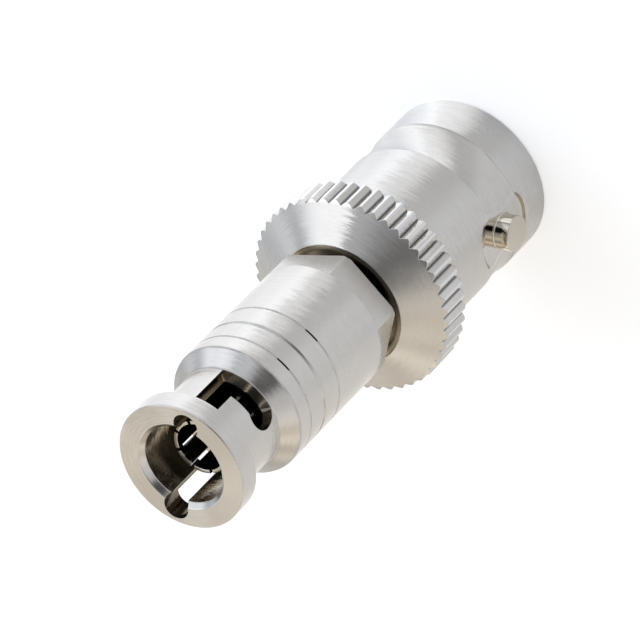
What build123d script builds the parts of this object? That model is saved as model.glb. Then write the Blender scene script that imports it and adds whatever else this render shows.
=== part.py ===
from build123d import *
import os
from math import cos, pi, radians, sin

# An in-line coaxial adapter: a full-size bayonet jack below and a miniature bayonet plug above.
# It stands on the jack's open face, the plane z = 0, and its axis is Z. The studs lie along X.
# Lengths are in millimetres and angles in degrees, counted from X towards Y.

# Clearances between pieces
press_gap = 0.01
slip_gap = 0.03
running_gap = 0.05
edge_break = 0.08

# Jack shell, from its open face upwards
shell_radius = 4.83
shell_bore_radius = 4.065
shell_bore_depth = 8.4
shell_ledge = 0.5
rim_chamfer = 0.12
bore_chamfer = 0.2
relief_start = 2.72
relief_end = 5.42
relief_depth = 0.13
relief_slope = 0.8
barrel_radius = 4.8

# Two shouldered studs pressed into the shell, each seated on a spot-faced flat
stud_count = 2
stud_radius = 1.0
stud_height = 4.3
stud_reach = 5.49
stud_chamfer = 0.08
stud_shank_radius = 0.75
stud_hole_floor = 0.12
stud_flat_distance = 4.6
stud_flat_radius = 2.1
stud_flat_slope = 55

# Knurled disc and the cone in front of it
disc_start = 10.68
disc_radius = 5.97
disc_length = 1.92
knurl_teeth = 48
knurl_depth = 0.27
knurl_mouth_width = 0.58
knurl_angle = 5.2
cone_end_radius = 3.72
cone_length = 1.12
recess_radius = 3.65
recess_depth = 1.2

# Stem that is screwed into the disc and carries the plug end
thread_radius = 3.2
stem_shoulder_radius = 3.5
stem_shoulder_length = 0.3
stem_neck_radius = 2.2
stem_bore_radius = 1.55

# Coupling sleeve
sleeve_gap = 0.48
sleeve_length = 15.64
sleeve_radius = 3.87
hexagon_length = 1.9
hexagon_chamfer = 0.12
hexagon_angle = 11.2
sleeve_bore_radius = 2.3
sleeve_chamber_radius = 2.85
bore_mouth_radius = 2.58
bore_mouth_depth = 0.3
flange_radius = 3.73
flange_length = 1.34
neck_radius = 3.0
neck_length = 3.43
shoulder_length = 0.78
groove_heights = (6.21, 7.7, 9.07)
groove_widths = (0.12, 0.2, 0.12)
groove_depths = (0.06, 0.1, 0.06)

# Two bayonet slots in the coupling sleeve
slot_count = 2
slot_angle = 75.0
slot_sweep = 48.0
slot_width = 1.49
slot_floor_wall = 0.45
detent_depth = 0.15
keyway_radius = 0.72
keyway_centre = 2.75

# Spring pack inside the sleeve
ring_height = 0.8
ring_thickness = 0.38
ring_inner_radius = 2.42
washer_thickness = 0.3
wave_count = 3
wave_thickness = 0.15
wave_height = 0.8
wave_washer_count = 2

# Slotted ground contact of the plug
ground_wall = 0.17
ground_length = 8.35
ground_set_back = 1.9
ground_slits = 8
ground_slit_width = 0.18
ground_slit_length = 3.2
ground_slit_angle = 18.0

# Centre line: insulators, socket and pin
jack_insulator_radius = 2.39
jack_insulator_front = 3.3
insulator_flange_length = 1.0
socket_radius = 1.05
socket_bore_radius = 0.7
socket_bore_depth = 3.3
socket_set_back = 0.15
socket_length = 4.75
socket_slits = 4
socket_slit_width = 0.16
socket_slit_length = 2.6
tail_radius = 0.5
tail_length = 2.75
tail_hole_radius = 0.3
tail_hole_depth = 1.5
pin_radius = 0.25
pin_set_back = 1.5
pin_point = 0.12
front_insulator_set_back = 3.3

# Heights worked out from the values above
cone_start = disc_start + disc_length
cone_end = cone_start + cone_length
recess_floor = cone_end - recess_depth
flange_seat = shell_bore_depth + shell_ledge
insulator_top = flange_seat + insulator_flange_length
sleeve_start = cone_end + sleeve_gap
sleeve_end = sleeve_start + sleeve_length
neck_end = sleeve_end - flange_length
neck_start = neck_end - neck_length
shoulder_start = neck_start - shoulder_length
chamber_end = neck_start - slot_floor_wall
ring_start = sleeve_start + ring_height
ring_end = ring_start + ring_thickness
washer_end = ring_end + washer_thickness
guide_start = washer_end + wave_washer_count * wave_height
guide_radius = sleeve_chamber_radius - running_gap
stud_foot = shell_bore_radius + stud_hole_floor
ground_end = sleeve_end - ground_set_back
ground_start = ground_end - ground_length
ground_inner_radius = stem_bore_radius - ground_wall
socket_start = jack_insulator_front + socket_set_back
socket_end = socket_start + socket_length
tail_end = socket_end + tail_length
pin_tip = ground_end - pin_set_back
front_insulator_end = ground_end - front_insulator_set_back


def radial_plane(angle, radius, height):
    """Plane that faces outwards at an angle round the axis, at a radius and a height."""
    outwards = Vector(cos(radians(angle)), sin(radians(angle)), 0)
    return Plane(origin=outwards * radius + Vector(0, 0, height), x_dir=(0, 0, 1), z_dir=outwards)


def finish(part, label):
    """Label a finished piece and write it to its own file."""
    part.label = label
    export_step(part, f"parts/{label}.step")


os.makedirs("parts", exist_ok=True)

# Jack body: shell, knurled disc and cone, turned from one bar
with BuildPart() as jack_body:
    with BuildSketch(Plane.XZ):
        with BuildLine():
            Polyline(
                (thread_radius, recess_floor),
                (thread_radius, flange_seat),
                (jack_insulator_radius + slip_gap, flange_seat),
                (jack_insulator_radius + slip_gap, shell_bore_depth),
                (shell_bore_radius, shell_bore_depth),
                (shell_bore_radius, bore_chamfer),
                (shell_bore_radius + bore_chamfer, 0),
                (shell_radius - rim_chamfer, 0),
                (shell_radius, rim_chamfer),
                (shell_radius, relief_start),
                (shell_radius - relief_depth, relief_start + relief_slope),
                (shell_radius - relief_depth, relief_end - relief_slope),
                (barrel_radius, relief_end),
                (barrel_radius, disc_start),
                (disc_radius, disc_start),
                (disc_radius, cone_start),
                (cone_end_radius, cone_end),
                (recess_radius, cone_end),
                (recess_radius, recess_floor),
                close=True,
            )
        make_face()
    revolve(axis=Axis.Z)
    with BuildSketch(Plane.XY.offset(disc_start)):
        with PolarLocations(disc_radius - knurl_depth, knurl_teeth, start_angle=knurl_angle):
            Polygon(
                (0, 0),
                (2 * knurl_depth, -knurl_mouth_width),
                (2 * knurl_depth, knurl_mouth_width),
                align=None,
            )
    extrude(amount=disc_length + cone_length, mode=Mode.SUBTRACT)
    for stud in range(stud_count):
        stud_angle = 360 / stud_count * stud
        with BuildSketch(radial_plane(stud_angle, stud_flat_distance, stud_height)):
            Circle(stud_flat_radius)
        extrude(
            amount=shell_radius - stud_flat_distance + edge_break,
            taper=-stud_flat_slope,
            mode=Mode.SUBTRACT,
        )
        with BuildSketch(radial_plane(stud_angle, shell_radius, stud_height)):
            Circle(stud_shank_radius + press_gap)
        extrude(amount=stud_foot - shell_radius, mode=Mode.SUBTRACT)
finish(jack_body.part, "jack_body")

# Bayonet studs: a shank in the wall, a shoulder on the flat and a chamfered outer end
for stud in range(stud_count):
    with BuildPart() as bayonet_stud:
        with BuildSketch(radial_plane(360 / stud_count * stud, stud_foot, stud_height)):
            Circle(stud_shank_radius)
        extrude(amount=stud_flat_distance - stud_foot)
        with BuildSketch(radial_plane(360 / stud_count * stud, stud_flat_distance, stud_height)):
            Circle(stud_radius)
        extrude(amount=stud_reach - stud_flat_distance)
        tip = bayonet_stud.faces().filter_by(GeomType.PLANE).sort_by(SortBy.DISTANCE)[-1]
        chamfer(tip.edges(), stud_chamfer)
    finish(bayonet_stud.part, f"bayonet_stud_{stud + 1}")

# Jack insulator: a tube round the socket, with a flange clamped under the stem
with BuildPart() as jack_insulator:
    with BuildSketch(Plane.XZ):
        with BuildLine():
            Polyline(
                (socket_radius + slip_gap, jack_insulator_front),
                (jack_insulator_radius, jack_insulator_front),
                (jack_insulator_radius, flange_seat),
                (thread_radius - slip_gap, flange_seat),
                (thread_radius - slip_gap, insulator_top),
                (tail_radius + slip_gap, insulator_top),
                (tail_radius + slip_gap, socket_end),
                (socket_radius + slip_gap, socket_end),
                close=True,
            )
        make_face()
    revolve(axis=Axis.Z)
finish(jack_insulator.part, "jack_insulator")

# Jack socket contact: slotted socket below, drilled tail above
with BuildPart() as jack_socket:
    with BuildSketch(Plane.XZ):
        with BuildLine():
            Polyline(
                (socket_bore_radius + edge_break, socket_start),
                (socket_radius, socket_start),
                (socket_radius, socket_end),
                (tail_radius, socket_end),
                (tail_radius, tail_end),
                (tail_hole_radius, tail_end),
                (tail_hole_radius, tail_end - tail_hole_depth),
                (0, tail_end - tail_hole_depth),
                (0, socket_start + socket_bore_depth),
                (socket_bore_radius, socket_start + socket_bore_depth),
                (socket_bore_radius, socket_start + edge_break),
                close=True,
            )
        make_face()
    revolve(axis=Axis.Z)
    with BuildSketch(Plane.XY.offset(socket_start)):
        with PolarLocations((socket_bore_radius + socket_radius) / 2, socket_slits):
            Rectangle(socket_radius, socket_slit_width)
    extrude(amount=socket_slit_length, mode=Mode.SUBTRACT)
finish(jack_socket.part, "jack_socket_contact")

# Stem: screwed into the disc, it guides the sleeve and holds the ground contact
with BuildPart() as stem:
    with BuildSketch(Plane.XZ):
        with BuildLine():
            Polyline(
                (stem_bore_radius, insulator_top),
                (thread_radius - press_gap, insulator_top),
                (thread_radius - press_gap, recess_floor),
                (stem_shoulder_radius, recess_floor),
                (stem_shoulder_radius, recess_floor + stem_shoulder_length),
                (stem_neck_radius, recess_floor + stem_shoulder_length),
                (stem_neck_radius, guide_start),
                (guide_radius, guide_start),
                (guide_radius, chamber_end),
                (stem_bore_radius, chamber_end),
                close=True,
            )
        make_face()
    revolve(axis=Axis.Z)
finish(stem.part, "plug_stem")

# Rear insulator: fills the stem round the pin, from the jack insulator to the ground contact
with BuildPart() as rear_insulator:
    with BuildSketch(Plane.XY.offset(insulator_top)):
        Circle(stem_bore_radius - slip_gap)
        Circle(tail_radius + slip_gap, mode=Mode.SUBTRACT)
    extrude(amount=ground_start - insulator_top)
finish(rear_insulator.part, "rear_insulator")

# Front insulator: centres the pin in the ground contact
with BuildPart() as front_insulator:
    with BuildSketch(Plane.XY.offset(ground_start)):
        Circle(ground_inner_radius - slip_gap)
        Circle(tail_radius + slip_gap, mode=Mode.SUBTRACT)
    extrude(amount=front_insulator_end - ground_start)
finish(front_insulator.part, "front_insulator")

# Plug pin: its root is pressed into the socket's tail and its point is turned to a cone
with BuildPart() as plug_pin:
    with BuildSketch(Plane.XZ):
        with BuildLine():
            Polyline(
                (0, tail_end - tail_hole_depth),
                (tail_hole_radius - press_gap, tail_end - tail_hole_depth),
                (tail_hole_radius - press_gap, tail_end),
                (tail_radius, tail_end),
                (tail_radius, front_insulator_end),
                (pin_radius, front_insulator_end),
                (pin_radius, pin_tip - pin_point),
                (pin_radius - pin_point, pin_tip),
                (0, pin_tip),
                close=True,
            )
        make_face()
    revolve(axis=Axis.Z)
finish(plug_pin.part, "plug_pin")

# Ground contact: a thin spring sleeve, slit into fingers at its mouth
with BuildPart() as ground_contact:
    with BuildSketch(Plane.XY.offset(ground_start)):
        Circle(stem_bore_radius - press_gap)
        Circle(ground_inner_radius, mode=Mode.SUBTRACT)
    extrude(amount=ground_length)
    with BuildSketch(Plane.XY.offset(ground_end - ground_slit_length)):
        with PolarLocations(stem_bore_radius, ground_slits, start_angle=ground_slit_angle):
            Rectangle(3 * ground_wall, ground_slit_width)
    extrude(amount=ground_slit_length, mode=Mode.SUBTRACT)
finish(ground_contact.part, "ground_contact")

# Coupling sleeve: hexagon, grooved barrel, shoulder, neck and front flange, turned from one bar
with BuildPart() as coupling_sleeve:
    with BuildSketch(Plane.XZ):
        with BuildLine():
            Polyline(
                (sleeve_chamber_radius, sleeve_start),
                (sleeve_radius, sleeve_start),
                (sleeve_radius, shoulder_start),
                (neck_radius, neck_start),
                (neck_radius, neck_end),
                (flange_radius, neck_end),
                (flange_radius, sleeve_end),
                (bore_mouth_radius, sleeve_end),
                (sleeve_bore_radius, sleeve_end - bore_mouth_depth),
                (sleeve_bore_radius, chamber_end),
                (sleeve_chamber_radius, chamber_end),
                close=True,
            )
        make_face()
        for height, width, depth in zip(groove_heights, groove_widths, groove_depths):
            with Locations((sleeve_radius, sleeve_start + height)):
                Polygon((-depth, 0), (0, -width / 2), (0, width / 2), align=None, mode=Mode.SUBTRACT)
    revolve(axis=Axis.Z)
    with BuildSketch(Plane.XY.offset(sleeve_start)):
        Circle(sleeve_radius + edge_break)
        RegularPolygon(sleeve_radius, 6, rotation=hexagon_angle, mode=Mode.SUBTRACT)
    extrude(amount=hexagon_length, mode=Mode.SUBTRACT)
    with BuildSketch(Plane.XZ):
        with BuildLine():
            Polyline(
                (sleeve_radius - hexagon_chamfer, sleeve_start),
                (sleeve_radius + hexagon_chamfer, sleeve_start + 2 * hexagon_chamfer),
                (sleeve_radius + hexagon_chamfer, sleeve_start),
                close=True,
            )
        make_face()
    revolve(axis=Axis.Z, mode=Mode.SUBTRACT)
    for slot in range(slot_count):
        key_angle = slot_angle + 360 / slot_count * slot
        key_x = keyway_centre * cos(radians(key_angle))
        key_y = keyway_centre * sin(radians(key_angle))
        with BuildSketch(Plane.XY.offset(neck_start)):
            with Locations((key_x, key_y)):
                Circle(keyway_radius)
        extrude(amount=sleeve_end - neck_start, mode=Mode.SUBTRACT)
        cross_plane = Plane.XZ.rotated((0, 0, key_angle - slot_sweep))
        with BuildSketch(cross_plane):
            with Locations(((sleeve_bore_radius + flange_radius) / 2, neck_start + slot_width / 2)):
                Rectangle(flange_radius - sleeve_bore_radius + 2 * edge_break, slot_width)
        revolve(axis=Axis.Z, revolution_arc=slot_sweep, mode=Mode.SUBTRACT)
        end_radius = (slot_width + detent_depth) / 2
        with BuildSketch(radial_plane(key_angle - slot_sweep, keyway_centre, neck_start + end_radius)):
            Circle(end_radius)
        extrude(amount=keyway_radius, both=True, mode=Mode.SUBTRACT)
finish(coupling_sleeve.part, "coupling_sleeve")

# Retaining ring: pressed into the sleeve's rear end, it keeps the spring pack in
with BuildPart() as retaining_ring:
    with BuildSketch(Plane.XY.offset(ring_start)):
        Circle(sleeve_chamber_radius - press_gap)
        Circle(ring_inner_radius, mode=Mode.SUBTRACT)
    extrude(amount=ring_thickness)
finish(retaining_ring.part, "retaining_ring")

# Thrust washer: rests on the retaining ring and slides with it on the stem's neck
with BuildPart() as thrust_washer:
    with BuildSketch(Plane.XY.offset(ring_end)):
        Circle(guide_radius)
        Circle(stem_neck_radius + running_gap, mode=Mode.SUBTRACT)
    extrude(amount=washer_thickness)
finish(thrust_washer.part, "thrust_washer")

# Wave washers: stacked crest to crest between the thrust washer and the stem's guide
wave_inner_radius = stem_neck_radius + 2 * running_gap
wave_outer_radius = guide_radius - 2 * running_gap
wave_rise = (wave_height - wave_thickness) / 2
wave_points = 8 * wave_count


def wave_rim(radius, height, sign):
    """Closed curve at a radius that rises and falls once for each wave about a height."""
    turns = [2 * pi * step / wave_points for step in range(wave_points)]
    points = [
        (radius * cos(turn), radius * sin(turn), height + sign * wave_rise * cos(wave_count * turn))
        for turn in turns
    ]
    return Spline(*points, periodic=True)


for washer in range(wave_washer_count):
    middle = washer_end + wave_height * (washer + 0.5)
    sign = 1 - 2 * (washer % 2)
    corners = [
        wave_rim(wave_inner_radius, middle - wave_thickness / 2, sign),
        wave_rim(wave_outer_radius, middle - wave_thickness / 2, sign),
        wave_rim(wave_outer_radius, middle + wave_thickness / 2, sign),
        wave_rim(wave_inner_radius, middle + wave_thickness / 2, sign),
    ]
    sides = [Face.make_surface_from_curves(corners[i - 1], corners[i]) for i in range(len(corners))]
    with BuildPart() as wave_washer:
        add(Solid(Shell(sides)))
    finish(wave_washer.part, f"wave_washer_{washer + 1}")
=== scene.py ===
import math

import bmesh
import bpy
import numpy as np
from mathutils import Matrix, Vector


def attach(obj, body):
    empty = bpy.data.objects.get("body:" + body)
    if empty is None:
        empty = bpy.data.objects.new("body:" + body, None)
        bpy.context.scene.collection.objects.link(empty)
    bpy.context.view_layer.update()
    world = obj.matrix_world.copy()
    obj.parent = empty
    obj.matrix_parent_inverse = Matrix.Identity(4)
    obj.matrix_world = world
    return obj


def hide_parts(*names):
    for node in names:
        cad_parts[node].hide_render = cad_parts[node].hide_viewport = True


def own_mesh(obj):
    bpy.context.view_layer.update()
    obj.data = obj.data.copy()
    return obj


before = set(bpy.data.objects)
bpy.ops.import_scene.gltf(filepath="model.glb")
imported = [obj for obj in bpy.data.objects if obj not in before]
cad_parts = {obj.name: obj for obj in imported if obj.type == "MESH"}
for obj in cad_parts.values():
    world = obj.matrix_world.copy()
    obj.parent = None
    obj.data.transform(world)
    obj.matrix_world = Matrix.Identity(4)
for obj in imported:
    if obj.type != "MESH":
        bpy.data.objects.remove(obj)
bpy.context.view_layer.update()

MM = 0.001

# Sizes of the part: heights along its axis and radii in millimetres, angles in degrees.
# Jack shell, the hollow of the relief behind its rim, and the seats inside it
SHELL_R, BARREL_R, BORE_R, RELIEF = 4.83, 4.80, 4.065, (2.72, 5.42)
HOLLOW, RELIEF_ROWS = 0.11, 22
BORE_FLOOR, INSULATOR_SEAT, BEAD_HOLE_R, FLANGE_HOLE_R = 8.4, 8.9, 2.42, 3.2
RIM_BEVEL, MOUTH_BEVEL = 0.12, 0.2
# Studs with a thin ring at the foot, and the spot faces they stand on, whose walls slope
STUD_Z, STUD_R, STUD_REACH, STUD_RING = 4.3, 1.0, 5.49, 0.04
FLAT_AT, FLAT_R, FLAT_SLOPE = 4.6, 2.1, 55
# Knurled disc, half the width of a groove at its mouth, and the height of the disc's rear corner
DISC, DISC_R, REAR_CORNER = (10.68, 12.60), 5.97, 0.2
KNURL_TEETH, KNURL_DEPTH, KNURL_ANGLE, KNURL_HALF = 48, 0.27, 5.2, 0.33
# Cone in front of the disc, and its opening with a thin lip between two depths
CONE_END, CONE_R = 13.72, 3.72
CONE_SLOPE = (CONE_END - DISC[1]) / (DISC_R - CONE_R)
OPENING_R, RECESS_FLOOR, LIP, LIP_FROM, LIP_TO = 3.65, 12.52, 0.28, 0.06, 0.4
# Coupling sleeve: hexagon, grooves given as height, width and depth, shoulder, neck, flange and chamber
SLEEVE = (14.20, 29.84)
HEX_FRONT, HEX_ANGLE, HEX_EASE, SLEEVE_R = 16.10, 11.2, 0.12, 3.87
GROOVES = ((20.41, 0.12, 0.05), (21.90, 0.2, 0.1), (23.27, 0.12, 0.05))
SHOULDER, NECK, NECK_R, FLANGE_R = 24.29, (25.07, 28.50), 3.0, 3.73
CHAMBER_R, CHAMBER_END, SLEEVE_BORE_R, MOUTH_R, MOUTH_DEPTH = 2.85, 24.62, 2.3, 2.58, 0.3
# Bayonet slots, the keyways that open them, and how far from the axis their cutters reach
SLOT_ANGLE, SLOT_SWEEP, SLOT_W, DETENT = 75.0, 48.0, 1.49, 0.15
KEYWAY_R, KEYWAY_AT, CUT_FROM, CUT_TO = 0.72, 2.75, 2.1, 3.66
# Ground contact, its slits and the swell at its mouth
GROUND_END, GROUND_START, GROUND_IN, GROUND_OUT = 27.94, 19.59, 1.38, 1.54
SLITS, SLIT_W, SLIT_L, SLIT_ANGLE = 8, 0.18, 3.2, 18.0
SWELL, SWELL_FROM, SWELL_FULL = 0.06, 1.0, 0.5
# Stem: foot, collar, neck, guide and bore
STEM_FOOT, STEM_FOOT_R, STEM_BORE_R = 9.9, 3.19, 1.55
COLLAR_R, COLLAR_H, STEM_NECK_R, GUIDE_R = 3.5, 0.3, 2.2, 2.8
# Jack socket, from its mouth to the end of its tail
SOCKET_MOUTH, SLIT_END, SOCKET_FLOOR, SOCKET_BACK, TAIL_END = 3.45, 6.05, 6.75, 8.2, 10.95
SOCKET_IN, SOCKET_OUT, SOCKET_SLIT, MOUTH_EASE = 0.7, 1.05, 0.16, 0.08
TAIL_R, TAIL_BORE_R, TAIL_FLOOR = 0.5, 0.3, 9.45
# Plug pin, and the insulators, which are called beads
PIN_ROOT_R, PIN_R, PIN_SHOULDER = 0.29, 0.5, 24.64
POINT_R, POINT_FROM, POINT_END, TIP_R = 0.25, 26.25, 26.44, 0.1
BEAD_START, BEAD_R, BEAD_FLANGE_R, BEAD_ROOM_R, BEAD_BORE_R, PLUG_BEAD_R = 3.3, 2.39, 3.17, 1.08, 0.53, 1.35
# Wave washers: the room they fill, their height, thickness and radii, and the sleeve's travel
WAVES, WAVE_H, WAVE_THICK, WAVE_R, TRAVEL = (15.68, 17.28), 0.8, 0.15, (2.3, 2.7), 0.6

# How meshes are made: points on each rounded corner, the radius at which a solid bar starts instead of on its
# axis, the angle from which an edge is sharp, the tolerance of a height, and points round a finger
ARC_POINTS, AXIS_R, SHARP_FROM, TINY, FINGER_POINTS = 4, 0.001, 28, 1e-6, 14


# Shapes
def rounded(points, radii, steps=ARC_POINTS):
    """Profile of (radius, height) points with each corner replaced by an arc: a quadratic curve from the
    point one radius before the corner, through the corner as its control, to the point one radius after
    it."""
    points = np.asarray(points, float)
    before, after = np.roll(points, 1, 0), np.roll(points, -1, 0)
    reach_b = np.linalg.norm(before - points, axis=1)
    reach_a = np.linalg.norm(after - points, axis=1)
    size = np.minimum(np.broadcast_to(radii, reach_a.shape), 0.45 * np.minimum(reach_a, reach_b))
    start = points + (before - points) / reach_b[:, None] * size[:, None]
    end = points + (after - points) / reach_a[:, None] * size[:, None]
    t = np.linspace(0, 1, steps)[None, :, None]
    arcs = (1 - t) ** 2 * start[:, None] + 2 * t * (1 - t) * points[:, None] + t**2 * end[:, None]
    return arcs.reshape(-1, 2)


def subdivided(profile, longest):
    """Closed profile whose runs longer than a length, one for all or one for each run, are divided
    evenly, with one more point close to each of their ends, so that smooth shading stays at the
    corners."""
    long_run, close = 0.15, 0.025
    made = []
    for a, b, step in zip(profile, np.roll(profile, -1, 0), np.broadcast_to(longest, len(profile))):
        run = np.linalg.norm(b - a)
        pieces = max(1, math.ceil(run / step))
        share = np.arange(pieces) / pieces
        if run > long_run:
            share = np.unique(np.concatenate([share, [close / run, 1 - close / run]]))
        made.append(a + (b - a) * share[:, None])
    return np.concatenate(made)


def linked(name, mesh):
    """Object at the origin that shows a mesh."""
    made = bpy.data.objects.new(name, mesh)
    bpy.context.scene.collection.objects.link(made)
    return made


def grid_mesh(name, points, closed_rows=True, closed_columns=True):
    """Object from a grid of points, rows x columns x 3 in millimetres, with a quad between each four
    neighbours."""
    rows, columns = points.shape[:2]
    i = np.arange(rows if closed_rows else rows - 1)[:, None]
    j = np.arange(columns if closed_columns else columns - 1)[None, :]
    i2, j2 = (i + 1) % rows, (j + 1) % columns
    corners = [i * columns + j, i * columns + j2, i2 * columns + j2, i2 * columns + j]
    quads = np.stack(corners, -1).reshape(-1, 4)
    mesh = bpy.data.meshes.new(name)
    mesh.vertices.add(rows * columns)
    mesh.vertices.foreach_set("co", (points.reshape(-1, 3) * MM).astype(np.float32).ravel())
    mesh.loops.add(quads.size)
    mesh.loops.foreach_set("vertex_index", quads.astype(np.int32).ravel())
    mesh.polygons.add(len(quads))
    mesh.polygons.foreach_set("loop_start", (np.arange(len(quads)) * 4).astype(np.int32))
    mesh.update(calc_edges=True)
    mesh.validate()
    return linked(name, mesh)


def face_mesh(name, points, faces):
    """Object from points in millimetres and a list of faces with any number of corners."""
    mesh = bpy.data.meshes.new(name)
    mesh.from_pydata((points * MM).tolist(), [], faces)
    return linked(name, mesh)


def round_axis(radius, height, turn):
    """Points at a radius, a height and an angle: x is radius times cosine, y is radius times sine."""
    return np.stack(np.broadcast_arrays(radius * np.cos(turn), radius * np.sin(turn), height), -1)


def turned(name, profile, angles, start=0.0, cut=None):
    """Solid of revolution: each (radius, height) of a closed profile, listed with the material on its
    left, is carried round the axis, through a number of even angles or a list of them. cut(radius,
    height, angle) may return a smaller radius at each grid point."""
    if np.ndim(angles) == 0:
        angles = np.arange(angles) * 2 * np.pi / angles
    turn = np.radians(start) + angles
    radius = np.repeat(profile[:, :1], len(turn), 1)
    height = np.repeat(profile[:, 1:], len(turn), 1)
    turn = np.repeat(turn[None, :], len(profile), 0)
    if cut is not None:
        radius, height = cut(radius, height, turn)
    return grid_mesh(name, round_axis(radius, height, turn))


def closed_poles(piece):
    """Merges the hair-thin ring of a turned mesh round its axis, so that each end closes in one point."""
    mesh = bmesh.new()
    mesh.from_mesh(piece.data)
    on_axis = [v for v in mesh.verts if math.hypot(v.co.x, v.co.y) < 2 * AXIS_R * MM]
    bmesh.ops.remove_doubles(mesh, verts=on_axis, dist=3 * AXIS_R * MM)
    bmesh.ops.delete(mesh, geom=[v for v in mesh.verts if not v.link_faces], context="VERTS")
    bmesh.ops.delete(mesh, geom=[e for e in mesh.edges if not e.link_faces], context="EDGES")
    mesh.to_mesh(piece.data)
    mesh.free()
    return piece


def outwards(piece):
    """Turns the whole mesh so that its faces point out of its material: the signed volume is made
    positive."""
    mesh = piece.data
    mesh.calc_loop_triangles()
    corner = np.empty(len(mesh.loop_triangles) * 3, np.int32)
    mesh.loop_triangles.foreach_get("vertices", corner)
    place = np.empty(len(mesh.vertices) * 3, np.float32)
    mesh.vertices.foreach_get("co", place)
    a, b, c = np.moveaxis(place.reshape(-1, 3).astype(float)[corner.reshape(-1, 3)], 1, 0)
    if np.einsum("ij,ij->i", a, np.cross(b, c)).sum() < 0:
        mesh.flip_normals()
    return piece


def finished(piece, body, material, nodes=()):
    """Shades a made piece smooth with sharp edges, puts a material in its one slot, puts it in its body, and
    hides the nodes it stands for."""
    outwards(piece)
    piece.data.shade_smooth()
    piece.data.set_sharp_from_angle(angle=math.radians(SHARP_FROM))
    piece.data.materials.clear()
    piece.data.materials.append(material)
    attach(piece, body)
    if nodes:
        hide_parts(*nodes)
    return piece


# Shader nodes
def node(tree, kind, **values):
    """Adds a shader node. A value goes to the node's property of that name, or else to its socket."""
    made = tree.nodes.new(kind)
    for name, value in values.items():
        if hasattr(made, name):
            setattr(made, name, value)
        else:
            made.inputs[name.replace("_", " ")].default_value = value
    return made


def join(tree, socket, value):
    """Puts a value on a socket, or links another node's output to it."""
    if isinstance(value, bpy.types.NodeSocket):
        tree.links.new(value, socket)
    elif value is not None:
        socket.default_value = value


def maths(tree, operation, a, b=None):
    """Math of one or two numbers, each of which may be another node's output."""
    made = tree.nodes.new("ShaderNodeMath")
    made.operation = operation
    join(tree, made.inputs[0], a)
    join(tree, made.inputs[1], b)
    return made.outputs[0]


def vectors(tree, operation, a, b=None, scale=None):
    """Vector math of one or two vectors, or of a vector and a scale, each of which may be another node's
    output. A length and a dot product give a number."""
    made = tree.nodes.new("ShaderNodeVectorMath")
    made.operation = operation
    join(tree, made.inputs[0], a)
    join(tree, made.inputs[1], b)
    join(tree, made.inputs[3], scale)
    return made.outputs[1 if operation in ("LENGTH", "DOT_PRODUCT") else 0]


def both(tree, a, b):
    """Product of two numbers, or the place where two masks overlap."""
    return maths(tree, "MULTIPLY", a, b)


def ramp(tree, value, low, high, first, last, shape="LINEAR"):
    """Goes from a first number, where a value is low, to a last number, where it is high, and stays there."""
    made = node(tree, "ShaderNodeMapRange", From_Min=low, From_Max=high, To_Min=first, To_Max=last)
    made.interpolation_type = shape
    tree.links.new(value, made.inputs["Value"])
    return made.outputs[0]


def below(tree, value, limit, soft):
    """One below a limit and nothing above it, with a soft edge."""
    return ramp(tree, value, limit, limit + soft, 1.0, 0.0)


def band(tree, value, low, high, soft):
    """One between two limits and nothing outside, with soft edges: the product of two clamped ramps."""
    return both(tree, ramp(tree, value, low - soft, low, 0.0, 1.0), below(tree, value, high, soft))


def length_of(tree, a, b):
    """Length of a flat vector: the root of the sum of two squares."""
    return maths(tree, "SQRT", maths(tree, "ADD", both(tree, a, a), both(tree, b, b)))


def combined(tree, *parts):
    """Vector from two or three outputs."""
    made = tree.nodes.new("ShaderNodeCombineXYZ")
    for part, socket in zip(parts, made.inputs):
        tree.links.new(part, socket)
    return made.outputs[0]


def separated(tree, vector):
    """The three parts of a vector."""
    made = tree.nodes.new("ShaderNodeSeparateXYZ")
    tree.links.new(vector, made.inputs[0])
    return made.outputs


def noise(tree, place, scale, detail, roughness):
    """Noise between zero and one at a place."""
    made = node(tree, "ShaderNodeTexNoise", Scale=scale, Detail=detail, Roughness=roughness)
    tree.links.new(place, made.inputs["Vector"])
    return made.outputs["Fac"]


def toned(tree, value, shade, colour, low=0.0, high=1.0):
    """Colour that goes from a shade where a value is low to a colour where it is high."""
    made = tree.nodes.new("ShaderNodeValToRGB")
    first, last = made.color_ramp.elements
    first.position, last.position = low, high
    first.color, last.color = (*shade, 1), (*colour, 1)
    tree.links.new(value, made.inputs[0])
    return made.outputs[0]


def mixed(tree, mask, a, b):
    """Colour or number that is a where a mask is nothing and b where it is one. A colour b is a tuple."""
    made = tree.nodes.new("ShaderNodeMix")
    first, second, result = 2, 3, 0
    if isinstance(b, tuple):
        made.data_type = "RGBA"
        first, second, result = 6, 7, 2
    tree.links.new(mask, made.inputs["Factor"])
    join(tree, made.inputs[first], a)
    join(tree, made.inputs[second], b)
    return made.outputs[result]


# Materials
def paint(metal, mask, colour=None, roughness=None):
    """Gives another colour or gloss to the part of a metal where a mask is one."""
    tree, shader = metal["tree"], metal["shader"]
    if colour is not None:
        socket = shader.inputs["Base Color"]
        tree.links.new(mixed(tree, mask, socket.links[0].from_socket, (*colour, 1)), socket)
    if roughness is not None:
        socket = shader.inputs["Roughness"]
        tree.links.new(mixed(tree, mask, socket.links[0].from_socket, roughness), socket)


def still(metal, mask):
    """Takes the swing of the lines away where a mask is one."""
    tree, swing = metal["tree"], metal["swing"].inputs["Scale"]
    kept = maths(tree, "SUBTRACT", 1.0, mask)
    tree.links.new(both(tree, swing.links[0].from_socket, kept), swing)


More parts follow.
